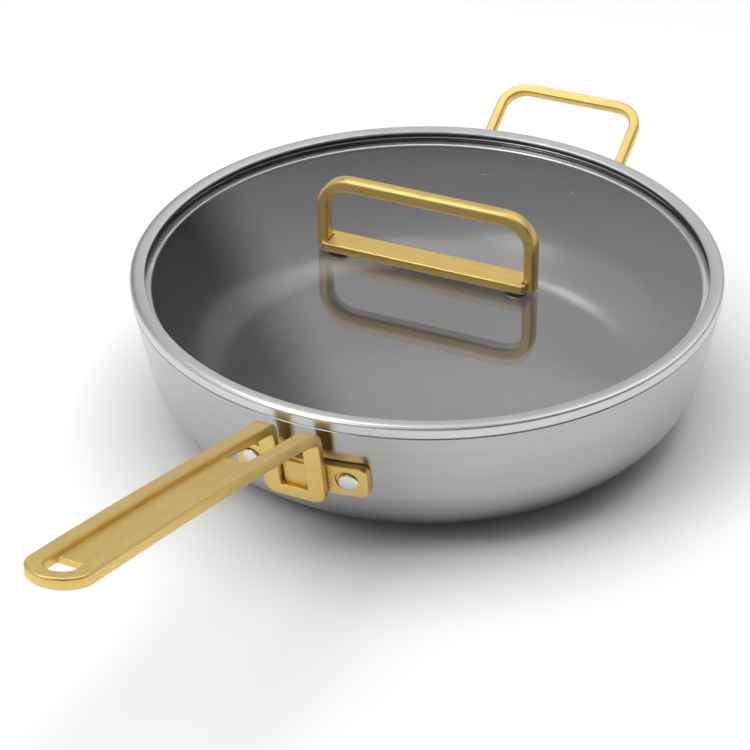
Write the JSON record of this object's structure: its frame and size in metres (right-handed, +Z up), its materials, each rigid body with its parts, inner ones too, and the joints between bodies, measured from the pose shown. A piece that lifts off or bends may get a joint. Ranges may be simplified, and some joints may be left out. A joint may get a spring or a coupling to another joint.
{
  "type": "frying pan with lid",
  "caption": "Deep steel frying pan with a grey lining, a flat glass lid in a steel rim, a long gold handle, a gold helper loop and a gold arch on the lid.",
  "frame": {"origin": "centre of the flat base, on the surface the pan stands on", "axes": "X along the long handle and outwards, Z up, Y square to both"},
  "size_m": [0.6193, 0.32, 0.1484],
  "materials": {
    "brushed_steel": "fine circular brushing",
    "rivet_steel": "polished steel",
    "gold_metal": "satin gold, lengthways brushing",
    "grey_lining": "smooth satin ceramic coating",
    "lid_glass": "clear tempered glass",
    "black_rubber": "matt black silicone"
  },
  "bodies": {
    "pan": {"pan_body": "brushed_steel", "pan_lining": "grey_lining", "long_handle": "gold_metal", "handle_bracket": "gold_metal", "helper_handle": "gold_metal", "helper_bracket": "gold_metal", "handle_rivet_left": "rivet_steel", "handle_rivet_right": "rivet_steel", "helper_rivet_left": "rivet_steel", "helper_rivet_right": "rivet_steel"},
    "lid": {"lid_rim": "brushed_steel", "lid_glass": "lid_glass", "lid_seal": "black_rubber", "lid_handle": "gold_metal", "lid_handle_plate": "gold_metal", "lid_spacer_left": "black_rubber", "lid_spacer_right": "black_rubber", "lid_washer_left": "rivet_steel", "lid_washer_right": "rivet_steel", "lid_screw_left": "rivet_steel", "lid_screw_right": "rivet_steel"}
  },
  "joints": [
    {"name": "lid_lift", "type": "slide", "parent": "pan", "child": "lid", "axis": [0, 0, 1], "range_m": [0, 0.15]}
  ]
}
